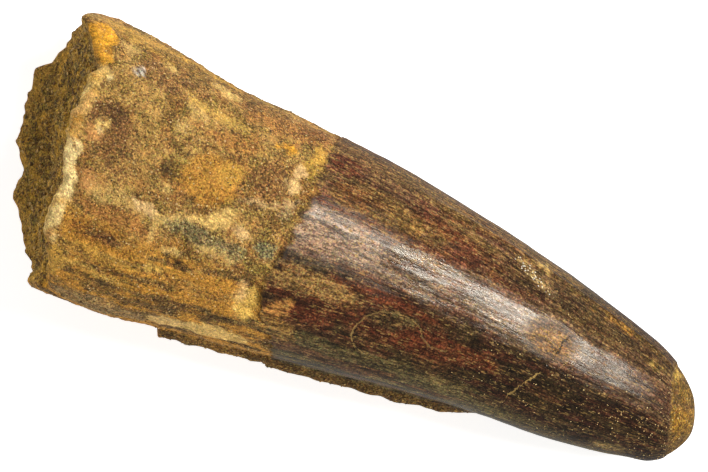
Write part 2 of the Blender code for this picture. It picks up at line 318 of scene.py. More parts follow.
def cracks(x, round_way):
    """How far the nearest crack is, to one side or the other, how pale its edge is and how much painted shade
    darkens it, if it is close.
    """
    nearest = np.full(np.shape(x), NO_CRACK)
    pale, dark = np.zeros(np.shape(x)), np.zeros(np.shape(x))
    for crack in CRACKS:
        for (x0, v0), (x1, v1) in zip(crack.points[:-1], crack.points[1:]):
            length = math.hypot(x1 - x0, v1 - v0)
            along = ((x - x0) * (x1 - x0) + (round_way - v0) * (v1 - v0)) / length
            side = ((round_way - v0) * (x1 - x0) - (x - x0) * (v1 - v0)) / length
            beyond = np.maximum(0, np.maximum(-along, along - length))
            away = np.hypot(side, beyond)
            closer = away < np.abs(nearest)
            near = 1 - smoothstep(*CRACK_REACH, away)
            nearest = np.where(closer, np.copysign(away, side), nearest)
            pale = np.where(closer, crack.pale * near, pale)
            dark = np.where(closer, crack.dark * near, dark)
    return nearest, pale, dark


def dust(x, round_way):
    """How much golden sand clings to the enamel."""
    upper = smoothstep(4.0, 8.0, round_way) * (1 - 0.7 * smoothstep(12, 30, x))
    base = smoothstep(10, -2, x) * smoothstep(-6, -4, round_way) * smoothstep(-1.2, -2.4, round_way)
    crack = 1 - smoothstep(0.5, 1.2, away_from(DUSTY_SPOT, x, round_way))
    return np.maximum(np.maximum(0.3, 0.6 * upper), np.maximum(0.95 * base, 0.7 * crack))


def side_form(ring_x, angle):
    """Where rings cross angles on the tooth's side, with what else is known of each place."""
    ring_x, angle = np.broadcast_arrays(ring_x, angle)
    x = leaning_x(ring_x, angle)
    form = section_at(x)
    half_width, half_height = (form.left - form.right) / 2, (form.top - form.bottom) / 2
    across, up = np.cos(np.radians(angle)), np.sin(np.radians(angle))
    along = (x - SECTIONS[0].x) / (SECTIONS[-1].x - SECTIONS[0].x)
    power = ROOT_SQUARENESS + (TIP_SQUARENESS - ROOT_SQUARENESS) * along
    reach = (np.abs(across / half_width) ** power + np.abs(up / half_height) ** power) ** (-1 / power)
    middle = stack(x, (form.left + form.right) / 2, (form.top + form.bottom) / 2)
    outward = stack(0.0, across, up)
    point = middle + reach[..., None] * outward

    # Place on the unrolled surface: X, and the way round from the top, towards +Y
    round_way = np.radians(90 - ((angle + 90) % 360 - 90)) * (half_width + half_height) / 2
    facet = np.clip((round_way - FACET[0]) / (FACET[1] - FACET[0]), 0, 1)
    flow = stack(x, FLOW_RADIUS * across * reach / half_width, FLOW_RADIUS * up * reach / half_height)
    crown = x - around(CROWN_CURVE, angle)
    worn = (point - TIP_WEAR_POINT) @ TIP_WEAR_FACING + TIP_CHIPS[0] * lumps(point, TIP_CHIPS[1])
    from_rim = x - around(RIM_CURVE, angle)

    on_crown = smoothstep(-0.1, 0.1, crown)
    off_tip = 1 - smoothstep(-0.12, 0.12, worn)
    grow = ENAMEL_THICKNESS * on_crown * off_tip
    grow = grow + (ROOT_LUMPS + (CROWN_LUMPS - ROOT_LUMPS) * on_crown) * lumps(point, LUMP_SIZE)
    crust = ledge(x, angle, point[..., 2])
    grow = grow + crust + carinae(x, angle)
    grow = grow - worn_edge(from_rim, angle)
    before_facet_end = 1 - smoothstep(*FACET_FADE, x)
    grow = grow - FACET_DEPTH * FACET_PEAK * facet ** 2 * (1 - facet) * on_crown * before_facet_end
    grow = grow - np.where(up > 0, hollowed(x, point[..., 1]), 0)

    fibres = lumps(shortened(flow, FIBRE_STRETCH), FIBRE_SIZE)
    grain = lumps(point, ROOT_GRAIN[1])
    fine_root = ROOT_GRAIN[0] * grain + ROOT_FIBRES * fibres * smoothstep(2, 9, -round_way)
    fine_root = fine_root * (0.3 + 0.7 * smoothstep(*SMOOTH_RIM, from_rim))
    fine_crown = CROWN_FIBRES * fibres
    grow = grow + fine_root * (1 - on_crown) + fine_crown * on_crown
    settle = np.minimum(1, reach / SETTLED_REACH)
    place = point + (grow * settle)[..., None] * outward

    # Enamel is dull near its edge, in streaks behind it, towards the tip and in one spot
    dull = 0.35 * smoothstep(5, 1.5, x + 4 * lumps(shortened(flow, 4), 2.5, 2))
    dull = np.maximum(dull, 0.8 * smoothstep(0.9, 0.3, crown)) + 0.15 * smoothstep(22, 29, x)
    dull = np.maximum(dull, 0.9 * (1 - smoothstep(0.6, 1.1, away_from(DULL_SPOT, x, round_way))))
    split, pale_split, dark_split = cracks(x, round_way)
    facts = {
        "along": x, "round": round_way, "crown": crown, "worn": worn, "broken": -from_rim,
        "crust": crust / LEDGE_HEIGHT, "dust": dust(x, round_way), "dull": dull,
        "split": split, "pale_split": pale_split, "dark_split": dark_split,
    }
    return place, facts, flow


def break_plane(point):
    return BREAK_X + BREAK_SLANT_Y * point[..., 1] + BREAK_SLANT_Z * (point[..., 2] - BREAK_MIDDLE_HEIGHT)


def break_form(angle, share, middle):
    """Points on the rough break, shares of the way from its middle to the rim."""
    rim_point, facts, flow = side_form(SECTIONS[0].x, angle)
    point = middle + (rim_point - middle) * share[..., None]
    rim_rise = rim_point[..., 0] - break_plane(rim_point)
    x = break_plane(point) + rim_rise * smoothstep(RIM_TURN, 1, share)
    x = x + BREAK_HOLLOW * (1 - share ** 2)
    x = x + WALL_LIP * (1 - smoothstep(1 - WALL_THICKNESS, 1, share))
    flat = stack(0.0, point[..., 1], point[..., 2])
    x = x + BREAK_LUMPS * (1 - share ** 6) * lumps(flat, BREAK_LUMP_SIZE)
    x = x + BREAK_GRAIN[0] * (1 - share ** 12) * lumps(flat + 50, BREAK_GRAIN[1])
    reach = np.linalg.norm((rim_point - middle)[..., 1:], axis=-1)
    facts = dict(facts, along=x, broken=(1 - share) * reach)
    return stack(x, point[..., 1], point[..., 2]), facts, flow


def ring_places():
    root_end, crown_start = CROWN_X - CROWN_STEP, CROWN_X + CROWN_STEP
    root = np.linspace(SECTIONS[0].x, root_end, round((root_end - SECTIONS[0].x) / BODY_STEP) + 1)
    crown = np.linspace(crown_start, TIP_X, round((TIP_X - crown_start) / BODY_STEP) + 1)
    turn = np.linspace(0, math.pi / 2, TIP_RINGS + 1)[1:-1]
    tip = TIP_X + (SECTIONS[-1].x - TIP_X) * np.sin(turn)
    return np.concatenate([root, crown, tip])


def patch_angle(i, j):
    """The angle of a place in the square patch in the middle of the break, whose rings are squares."""
    ring = max(abs(i), abs(j))
    if ring == 0:
        return 0.0
    if i == ring:
        steps = j % (8 * ring)
    elif j == ring:
        steps = 2 * ring - i
    elif i == -ring:
        steps = 4 * ring - j
    else:
        steps = 6 * ring + i
    return 360 * steps / (8 * ring)


def listed(arrays):
    """All the places in several arrays, as one list."""
    return np.vstack([np.reshape(array, (-1, 3)) for array in arrays])


def join(parts):
    """One list of places, facts and flow from several."""
    places, facts, flows = zip(*parts)
    together = {name: np.concatenate([fact[name].ravel() for fact in facts]) for name in facts[0]}
    return listed(places), together, listed(flows)


def tooth_mesh():
    angles = np.arange(SEGMENTS) * 360 / SEGMENTS
    rings = ring_places()
    sides = side_form(rings[:, None], angles[None, :])
    middle = sides[0][0].mean(axis=0)
    shares = np.array([*BREAK_RINGS, PATCH_SHARE])
    broken = break_form(*np.broadcast_arrays(angles[None, :], shares[:, None]), middle)

    half = SEGMENTS // 8
    spots = [(i, j) for i in range(-half, half + 1) for j in range(-half, half + 1)]
    inner = [(i, j) for i, j in spots if max(abs(i), abs(j)) < half]
    inner_angles = np.array([patch_angle(i, j) for i, j in inner])
    inner_shares = np.array([PATCH_SHARE * max(abs(i), abs(j)) / half for i, j in inner])
    patch = break_form(inner_angles, inner_shares, middle)
    tip_facts = {name: np.array([values[-1].mean()]) for name, values in sides[1].items()}
    tip_place = np.array([[SECTIONS[-1].x, SECTIONS[-1].left, SECTIONS[-1].top]])
    tip_flow = sides[2][-1].mean(axis=0)[None]
    points, facts, flow = join([sides, broken, patch, (tip_place, tip_facts, tip_flow)])

    def ring_faces(first, second):
        return [
            (first + j, first + (j + 1) % SEGMENTS, second + (j + 1) % SEGMENTS, second + j)
            for j in range(SEGMENTS)
        ]

    faces = []
    for ring in range(len(rings) - 1):
        faces += ring_faces(ring * SEGMENTS, (ring + 1) * SEGMENTS)
    last = (len(rings) - 1) * SEGMENTS
    tip_index = len(points) - 1
    faces += [(last + j, last + (j + 1) % SEGMENTS, tip_index) for j in range(SEGMENTS)]
    broken_start = len(rings) * SEGMENTS
    faces += ring_faces(broken_start, 0)
    for ring in range(len(shares) - 1):
        faces += ring_faces(broken_start + (ring + 1) * SEGMENTS, broken_start + ring * SEGMENTS)
    edge_start = broken_start + (len(shares) - 1) * SEGMENTS
    patch_start = edge_start + SEGMENTS
    index = {spot: patch_start + number for number, spot in enumerate(inner)}
    for i, j in spots:
        if (i, j) not in index:
            index[i, j] = edge_start + round(patch_angle(i, j) * SEGMENTS / 360) % SEGMENTS
    for i in range(-half, half):
        for j in range(-half, half):
            faces.append((index[i, j], index[i, j + 1], index[i + 1, j + 1], index[i + 1, j]))

    points[:, 2] = np.maximum(0, points[:, 2] - REST_FLAT_DEPTH)
    mesh = bpy.data.meshes.new("tooth_surface")
    mesh.from_pydata((points * MM).tolist(), [], faces)
    mesh.shade_smooth()
    for name, values in facts.items():
        mesh.attributes.new(name, "FLOAT", "POINT").data.foreach_set("value", values)
    mesh.attributes.new("flow", "FLOAT_VECTOR", "POINT").data.foreach_set("vector", flow.ravel())
    shades = np.column_stack([pigment(points, facts, flow), np.ones(len(points))])
    mesh.attributes.new("pigment", "FLOAT_COLOR", "POINT").data.foreach_set("color", shades.ravel())
    return mesh


def linear(red, green, blue):
    """A colour seen on screen, 0 to 255, as the light that it stands for."""
    shown = np.array([red, green, blue]) / 255
    return np.where(shown > 0.04045, ((shown + 0.055) / 1.055) ** 2.4, shown / 12.92)


# Colours as seen on screen
SCREEN_COLOURS = {
    "tan": (174, 133, 71),
    "golden": (196, 148, 62),
    "orange": (186, 130, 50),
    "rust": (162, 110, 54),
    "red_brown": (84, 40, 22),
    "olive": (122, 98, 44),
    "grey_green": (112, 100, 66),
    "purple": (126, 88, 48),
    "dark": (72, 50, 24),
    "black": (34, 22, 12),
    "cream": (228, 184, 120),
    "pale": (255, 222, 150),
    "white": (228, 218, 196),
    "yellow": (218, 174, 84),
    "straw": (224, 182, 104),
    "amber": (228, 160, 44),
    "smoke": (150, 122, 80),
    "brown": (124, 90, 44),
    "mahogany": (64, 37, 22),
    "umber": (56, 42, 24),
    "blue_grey": (96, 100, 104),
    "flecks": (150, 112, 58),
    "film": (106, 80, 58),
    "moss": (92, 80, 46),
    "khaki": (104, 76, 40),
    "sandstone": (190, 142, 46),
    "sienna": (198, 140, 78),
    # pinkish tan, partly the enamel's own colour and partly a painted highlight
    "rosy_sheen": (166, 130, 100),
    "ochre": (118, 86, 32),
    "soot": (28, 19, 13),
    "russet": (94, 62, 42),
}
PALETTE = {name: linear(*shown) for name, shown in SCREEN_COLOURS.items()}


# Markings on the side: X, way round from the top, half length, half width, turn, colour and strength
Mark = namedtuple("Mark", "x round length width turn colour strength")
ROOT_MARKS = [
    Mark(-26.0, 16.5, 8.0, 2.0, 0, "golden", 0.6),
    Mark(-12.0, 13.5, 6.0, 2.0, 0, "purple", 0.7),
    Mark(-29.0, 8.8, 2.8, 2.0, 0, "tan", 0.7),
    Mark(-29.2, 8.6, 1.8, 1.4, 0, "olive", 0.3),
    Mark(-25.0, 12.0, 4.4, 1.5, 0, "purple", 0.8),
    Mark(-22.0, 15.6, 7.0, 1.2, -3, "brown", 0.8),
    Mark(-28.3, 4.6, 3.2, 1.8, -20, "purple", 0.95),
    Mark(-27.0, 1.6, 3.0, 1.8, 0, "purple", 0.6),
    Mark(-24.5, 3.2, 2.2, 3.0, 0, "tan", 0.5),
    Mark(-11.6, 12.6, 5.0, 1.6, 8, "rust", 0.6),
    Mark(-9.4, 13.2, 1.8, 1.2, 0, "red_brown", 0.4),
    Mark(-17.2, 3.4, 3.0, 2.8, 0, "orange", 0.7),
    Mark(-15.6, 4.6, 1.5, 1.2, 0, "golden", 0.6),
    Mark(-17.2, 8.2, 2.4, 1.0, 0, "rust", 0.7),
    Mark(-21.6, 3.0, 0.8, 0.9, -30, "black", 0.6),
    Mark(-22.4, 2.2, 0.5, 0.4, 0, "black", 0.5),
    Mark(-28.2, 5.8, 1.2, 1.0, -20, "black", 0.45),
    Mark(-11.4, 5.4, 2.2, 2.2, 0, "purple", 0.75),
    Mark(-25.4, -2.3, 3.6, 0.9, 2, "straw", 0.5),
    Mark(-24.6, -4.1, 3.8, 0.9, 5, "rust", 0.85),
    Mark(-29.0, -2.0, 1.6, 1.2, 0, "sienna", 0.8),
    Mark(-30.0, 2.9, 0.9, 1.3, 0, "sienna", 0.85),
    Mark(-28.2, 11.2, 0.45, 0.35, 0, "blue_grey", 0.8),
    Mark(-28.2, 11.1, 0.25, 0.2, 0, "black", 0.8),
    Mark(-28.6, 11.5, 0.3, 0.2, 30, "white", 0.9),
    Mark(-28.0, 11.6, 0.2, 0.15, 0, "white", 0.9),
    Mark(-27.8, 10.9, 0.22, 0.2, 0, "white", 0.8),
    Mark(-28.6, 10.8, 0.2, 0.15, 0, "white", 0.7),
    Mark(-33.6, 13.4, 1.9, 1.6, -40, "amber", 0.95),
    Mark(-32.4, 11.2, 1.1, 0.7, -40, "amber", 0.8),
    Mark(-33.9, 13.9, 0.6, 0.3, -40, "rust", 0.7),
    Mark(-32.3, 11.3, 0.4, 0.3, 0, "rust", 0.8),
    Mark(-30.4, 13.6, 0.9, 0.8, -20, "straw", 0.65),
    Mark(-25.7, 13.7, 0.7, 0.4, -30, "straw", 0.7),
    Mark(-19.6, 14.3, 2.0, 0.6, -22, "straw", 0.8),
    Mark(-19.4, 10.7, 3.9, 0.6, -11, "yellow", 0.6),
    Mark(-21.2, 9.8, 1.2, 0.7, -20, "straw", 0.6),
    Mark(-21.8, 7.6, 0.9, 1.2, 0, "straw", 0.45),
    Mark(-30.7, 9.1, 0.4, 0.3, 0, "pale", 0.8),
    Mark(-29.5, 4.3, 0.8, 0.7, 0, "straw", 0.85),
    Mark(-29.6, 3.5, 0.3, 0.5, 0, "pale", 0.9),
    Mark(-11.5, 9.6, 1.1, 0.35, 0, "amber", 0.8),
    Mark(-8.1, 9.3, 0.9, 2.4, 0, "golden", 0.85),
    Mark(-8.0, 7.8, 0.5, 1.2, 0, "olive", 0.6),
    Mark(-9.0, 7.5, 0.8, 0.8, 0, "cream", 0.95),
    Mark(-9.0, 5.9, 0.8, 0.6, 0, "cream", 0.95),
    Mark(-8.8, 3.2, 0.7, 1.3, -10, "smoke", 0.9),
    Mark(-9.0, 3.9, 0.4, 0.5, 0, "cream", 0.8),
    Mark(-11.3, 2.8, 1.9, 0.3, 10, "cream", 0.7),
    Mark(-11.6, 2.4, 1.2, 0.25, 10, "black", 0.5),
    Mark(-20.9, 0.9, 0.5, 0.35, 0, "straw", 0.75),
    Mark(-21.7, -1.9, 1.5, 0.6, -5, "cream", 0.95),
    Mark(-20.5, -3.2, 0.22, 1.5, 4, "straw", 0.75),
    Mark(-17.3, -1.4, 3.2, 0.6, 15, "straw", 0.9),
    Mark(-14.8, -0.3, 1.5, 1.1, 40, "straw", 0.85),
    Mark(-16.6, -1.9, 0.7, 0.25, 10, "dark", 0.7),
    Mark(-11.9, -0.8, 1.3, 0.5, -15, "cream", 0.85),
    Mark(-16.4, -2.6, 3.4, 0.9, -8, "grey_green", 0.75),
    Mark(-12.2, -3.0, 1.8, 1.0, 0, "grey_green", 0.75),
    Mark(-9.0, -1.6, 1.0, 1.1, 0, "grey_green", 0.95),
    Mark(-9.0, -3.7, 1.5, 0.7, 0, "olive", 0.9),
    Mark(-13.5, -3.7, 2.0, 0.3, 0, "straw", 0.6),
    Mark(-18.0, -5.4, 1.3, 0.35, 0, "straw", 0.8),
    Mark(-17.0, -6.1, 2.0, 0.4, -4, "dark", 0.85),
    Mark(-18.6, -7.5, 1.1, 0.4, -5, "yellow", 0.8),
    Mark(-15.0, -8.3, 4.0, 0.5, 3, "orange", 0.5),
    Mark(-25.5, -6.6, 3.2, 0.9, 4, "red_brown", 0.55),
    Mark(-24.5, -8.6, 4.2, 0.45, 3, "golden", 0.7),
    Mark(-22.0, -9.6, 1.5, 0.5, 3, "dark", 0.6),
    Mark(-25.0, -10.6, 4.0, 0.4, -2, "yellow", 0.6),
    Mark(-28.6, -11.6, 1.0, 2.2, -8, "golden", 0.85),
    Mark(-13.5, -11.2, 5.0, 0.6, 6, "dark", 0.5),
    Mark(-20.5, -12.4, 4.6, 0.7, 6, "brown", 0.8),
    Mark(-8.5, -7.8, 1.4, 1.8, 0, "yellow", 0.95),
    Mark(-9.6, -7.2, 0.5, 1.4, 10, "cream", 0.7),
    Mark(-7.0, -7.0, 0.6, 1.8, 0, "orange", 0.9),
    # A pale strip low on the root's flank: partly its own pale colour, partly a painted reflection
    Mark(-12.4, -14.1, 5.4, 1.3, 9, "straw", 0.95),
    Mark(-15.4, -14.5, 2.0, 1.1, 0, "cream", 0.45),
    Mark(-22.5, -15.6, 5.0, 1.8, 0, "smoke", 0.7),
    Mark(-29.0, -15.5, 0.7, 2.0, 0, "amber", 0.9),
]
CROWN_MARKS = [
    # Lighter pinkish tan at the crown's base: partly its own colour, partly a painted highlight where the
    # lamp's gloss falls
    Mark(-3.4, 2.4, 6.0, 2.4, 0, "rosy_sheen", 0.45),
    Mark(-6.0, 2.0, 1.8, 2.2, 0, "rosy_sheen", 0.35),
    Mark(-5.3, 10.4, 2.2, 1.1, -5, "red_brown", 0.85),
    Mark(6.0, 12.2, 18.0, 2.2, -7, "khaki", 0.6),
    Mark(1.0, 6.4, 7.0, 1.8, -4, "brown", 0.4),
    Mark(6.5, 7.6, 4.0, 0.5, -8, "red_brown", 0.6),
    Mark(-2.5, 7.2, 2.8, 0.9, -4, "red_brown", 0.5),
    Mark(3.0, 4.9, 12.0, 0.35, -2, "red_brown", 0.7),
    Mark(-3.0, -1.4, 3.6, 0.7, 0, "moss", 0.3),
    Mark(-3.0, -3.2, 4.6, 1.1, -1, "flecks", 0.45),
    Mark(4.5, -1.9, 7.0, 0.6, -1, "red_brown", 0.8),
    Mark(6.0, -3.8, 2.8, 1.0, 0, "umber", 0.65),
    Mark(7.0, -3.0, 1.5, 0.4, 0, "moss", 0.5),
    Mark(8.2, -4.5, 1.4, 0.7, 0, "red_brown", 0.8),
    Mark(13.5, -3.9, 4.0, 0.9, 0, "red_brown", 0.7),
    Mark(-3.0, -6.6, 2.6, 0.9, -2, "red_brown", 0.7),
    Mark(6.0, -5.6, 7.0, 0.5, 0, "red_brown", 0.6),
    Mark(-5.4, -7.2, 1.2, 1.8, 0, "rust", 0.8),
    Mark(-5.0, -9.6, 2.0, 1.2, 0, "brown", 0.8),
    Mark(22.0, 1.4, 2.7, 1.3, 0, "rust", 0.45),
    Mark(16.1, 7.9, 0.7, 0.3, -20, "cream", 0.35),
    Mark(18.3, 6.7, 0.9, 0.2, -30, "cream", 0.3),
    Mark(18.4, 9.2, 0.6, 0.8, 0, "straw", 0.7),
    Mark(28.4, 6.8, 2.0, 0.2, -10, "orange", 0.55),
    Mark(33.6, 4.4, 0.6, 0.3, 0, "yellow", 0.4),
    Mark(32.4, -6.8, 1.4, 0.4, 10, "straw", 0.3),
]
TIP_MARKS = [
    Mark(35.7, 5.4, 0.8, 0.7, -60, "yellow", 0.7),
    Mark(38.3, 0.6, 0.8, 2.0, 0, "amber", 0.25),
]


def blended(first, second, share):
    return first + (second - first) * share[..., None]


def layered(colour, layers):
    """A colour with others of the palette laid over it, each with its share at each place."""
    for name, share in layers:
        colour = blended(colour, PALETTE[name], share)
    return colour


def warped(x, round_way, point, crown):
    """The side's two directions, shaken so that the edge of a marking looks natural."""
    def shake(shift):
        return 0.4 * lumps(point + shift, 2.2) + 0.2 * lumps(point + (shift + 40), 0.7, 2)

    stretch = 1 + 2.5 * crown
    return x + stretch * shake(0), round_way + shake(80) / stretch


def marked(colour, marks, x, round_way, ragged, where):
    """A colour with the marks laid over it: ovals with soft, ragged edges."""
    for mark in marks:
        turn = math.radians(mark.turn)
        dx, dv = x - mark.x, round_way - mark.round
        along = (dx * math.cos(turn) + dv * math.sin(turn)) / mark.length
        side = (-dx * math.sin(turn) + dv * math.cos(turn)) / mark.width
        away = np.maximum(np.hypot(along, side), 0.01)
        outside = (away - 1) * away / np.hypot(along / mark.length, side / mark.width)
        soft = max(0.15, 1.1 - mark.strength)
        cover = mark.strength * smoothstep(soft, -soft, outside + 0.4 * ragged) * where
        colour = blended(colour, PALETTE[mark.colour], cover)
    return colour


def pigment(place, facts, flow):
    """The colour of the surface, without its finest grain."""
    crown, broken, gilt = smoothstep(-0.3, 0.3, facts["crown"]), facts["broken"], facts["dust"]
    x, v = warped(facts["along"], facts["round"], place, crown)
    # Noises, each from its own region
    clouds, small, rusty = lumps(place, 3.0), lumps(place + 200, 0.6), lumps(place + 300, 1.6)
    blocks = lumps(place + 400, 1.6)
    streaks, bands = lumps(shortened(flow, 14), 0.8), lumps(shortened(flow, 5) + 60, 1.4)
    fibres = lumps(shortened(flow, 5) + 90, 0.7)

    # The root, with fibres on its lower flank
    fibrous = smoothstep(-3.5, -6.5, v)
    root = layered(PALETTE["tan"], [
        ("brown", smoothstep(-0.5, 0.4, clouds)),
        ("rust", 0.6 * smoothstep(0.0, 0.5, rusty)),
        ("olive", 0.5 * smoothstep(0.1, 0.4, -rusty)),
        ("orange", fibrous * smoothstep(-0.4, 0.3, fibres)),
        ("umber", 0.55 * fibrous * smoothstep(0.1, 0.5, -fibres)),
        ("khaki", 0.75 * smoothstep(-8.5, -10.5, v) * smoothstep(0.3, -0.2, fibres)),
    ])
    root = marked(root, ROOT_MARKS, x, v, small, 1 - crown)

    # The pale wall of the root, where it is worn off along the rim
    inward = broken + 0.15 * small + 0.45 * rusty
    edge = smoothstep(-1.7, -1.3, inward) * smoothstep(-9.5, -8.8, v) * smoothstep(10.5, 9, v)
    creamy = smoothstep(-5.2, -4.2, v) * smoothstep(1.9, 1.1, v)
    creamy = np.maximum(creamy, 0.6 * smoothstep(0.0, 0.2, blocks))
    creases = smoothstep(0.06, 0.02, np.abs(blocks + 0.05))
    root = layered(root, [
        ("straw", 0.95 * edge),
        ("pale", 0.9 * edge * creamy),
        ("sienna", 0.6 * edge * smoothstep(0.05, -0.15, blocks) * smoothstep(0.6, -0.2, creamy)),
        ("golden", 0.7 * edge * smoothstep(6, 8, v)),
        ("rust", 0.7 * creases * edge),
        ("orange", 0.8 * edge * smoothstep(1.6, 1.0, np.abs(v - 2.8))),
        ("straw", 0.6 * smoothstep(-0.35, -0.1, broken) * edge),
    ])

    # The enamel, different above and below its bright middle
    above, below = smoothstep(3.4, 5.4, v), smoothstep(-0.2, -1.6, v)
    enamel = layered(PALETTE["film"], [
        ("mahogany", 0.6 * smoothstep(20, 28, x)),
        ("russet", above),
        ("khaki", 0.75 * above * smoothstep(-0.15, 0.25, clouds)),
        ("umber", 0.8 * above * smoothstep(10, 22, x)),
        ("mahogany", below),
        ("soot", below * smoothstep(6, 16, x + 8 * clouds)),
        ("umber", 0.7 * below * smoothstep(0.0, 0.4, clouds)),
        ("moss", 0.8 * smoothstep(-6.5, -9.0, v)),
        ("red_brown", (0.6 - 0.35 * smoothstep(10, 22, x)) * smoothstep(0.0, 0.25, bands)),
        ("brown", 0.35 * gilt * smoothstep(0.1, -0.3, bands)),
        ("black", 0.7 * smoothstep(0.05, 0.3, -streaks) * (1.1 - gilt)),
    ])
    enamel = marked(enamel, CROWN_MARKS, x, v, 0.5 * streaks + 0.6 * small, crown)
    side = blended(root, enamel, crown)

    # The worn tip
    tip = layered(PALETTE["ochre"], [("khaki", 0.8 * smoothstep(-0.25, 0.25, rusty))])
    tip = 0.8 * marked(tip, TIP_MARKS, x, v, small, 1)
    side = blended(side, tip, smoothstep(-0.1, 0.1, facts["worn"]))

    # The stone that fills the break, golden beside the wall
    stone = layered(PALETTE["sandstone"], [
        ("olive", smoothstep(-0.35, 0.25, rusty)),
        ("brown", 0.5 * smoothstep(-0.3, 0.2, clouds)),
        ("dark", 0.4 * smoothstep(0.0, 0.4, -small)),
        ("golden", 0.6 * smoothstep(0.15, 0.4, small)),
        ("golden", 0.6 * smoothstep(1.5, 0.6, broken + 0.4 * small)),
    ])
    return blended(side, stone, smoothstep(-0.1, 0.4, broken))


class Shader:
    """Short ways to build a material's nodes."""

    def __init__(self, name):
        self.material = bpy.data.materials.new(name)
        self.material.use_nodes = True
        self.nodes, self.links = self.material.node_tree.nodes, self.material.node_tree.links
        self.surface = self.nodes["Principled BSDF"]

    def put(self, value, socket):
        if isinstance(value, bpy.types.NodeSocket):
            self.links.new(value, socket)
        else:
            socket.default_value = value

    def surface_is(self, **looks):
        """Sets what the surface is like. An underscore stands for the space in the name of a look."""
        for name, value in looks.items():
            self.put(value, self.surface.inputs[name.replace("_", " ")])

    def attribute(self, name, kind="Fac"):
        node = self.nodes.new("ShaderNodeAttribute")
        node.attribute_name = name
        return node.outputs[kind]

    def place(self):
        """Where a point is on the object, in millimetres."""
        return self.scaled(self.nodes.new("ShaderNodeTexCoord").outputs["Object"], 1000)

    def calculation(self, kind, operation, given):
        node = self.nodes.new(kind)
        node.operation = operation
        for value, socket in zip(given, node.inputs):
            self.put(value, socket)
        return node.outputs[0]

    def vector(self, operation, *given):
        return self.calculation("ShaderNodeVectorMath", operation, given)

    def number(self, operation, *given):
        return self.calculation("ShaderNodeMath", operation, given)

    def plus(self, first, second):
        return self.number("ADD", first, second)

    def minus(self, first, second):
        return self.number("SUBTRACT", first, second)

    def times(self, first, second):
        return self.number("MULTIPLY", first, second)

    def line(self, value, slope, start):
        """What a straight line with this slope and start gives for a value."""
        return self.number("MULTIPLY_ADD", value, slope, start)

    def noise(self, vector, size, detail=2.0, roughness=0.55):
        node = self.nodes.new("ShaderNodeTexNoise")
        node.inputs["Scale"].default_value = 1 / size
        node.inputs["Detail"].default_value = detail
        node.inputs["Roughness"].default_value = roughness
        self.put(vector, node.inputs["Vector"])
        return node.outputs["Fac"]

    def cells(self, vector, size):
        """Grains of a size: how far a point is from the middle of its grain, and the grain's own colour."""
        node = self.nodes.new("ShaderNodeTexVoronoi")
        node.inputs["Scale"].default_value = 1 / size
        self.put(vector, node.inputs["Vector"])
        return node.outputs["Distance"], node.outputs["Color"]

    def part(self, colour, channel):
        node = self.nodes.new("ShaderNodeSeparateColor")
        self.put(colour, node.inputs[0])
        return node.outputs[channel]

    def step(self, value, low, high, to_low=0.0, to_high=1.0):
        node = self.nodes.new("ShaderNodeMapRange")
        node.interpolation_type = "SMOOTHSTEP"
        for number, socket in zip((low, high, to_low, to_high), ("From Min", "From Max", "To Min", "To Max")):
            node.inputs[socket].default_value = number
        self.put(value, node.inputs["Value"])
        return node.outputs["Result"]

    def lightness(self, tone, channel, least, most):
        """A lightness between two values for each grain, from one channel of its own colour."""
        return self.step(self.part(tone, channel), 0, 1, least, most)

    def mix(self, share, first, second):
        node = self.nodes.new("ShaderNodeMix")
        node.data_type = "RGBA"
        self.put(share, node.inputs[0])
        for given, socket in ((first, node.inputs[6]), (second, node.inputs[7])):
            if isinstance(given, str):
                given = (*PALETTE[given], 1)
            self.put(given, socket)
        return node.outputs[2]

    def scaled(self, vector, factor):
        """A vector, or a colour, times a number."""
        node = self.nodes.new("ShaderNodeVectorMath")
        node.operation = "SCALE"
        self.put(vector, node.inputs[0])
        self.put(factor, node.inputs["Scale"])
        return node.outputs[0]

    def bump(self, height, distance):
        node = self.nodes.new("ShaderNodeBump")
        node.inputs["Distance"].default_value = distance * MM
        self.put(height, node.inputs["Height"])
        return node.outputs[0]


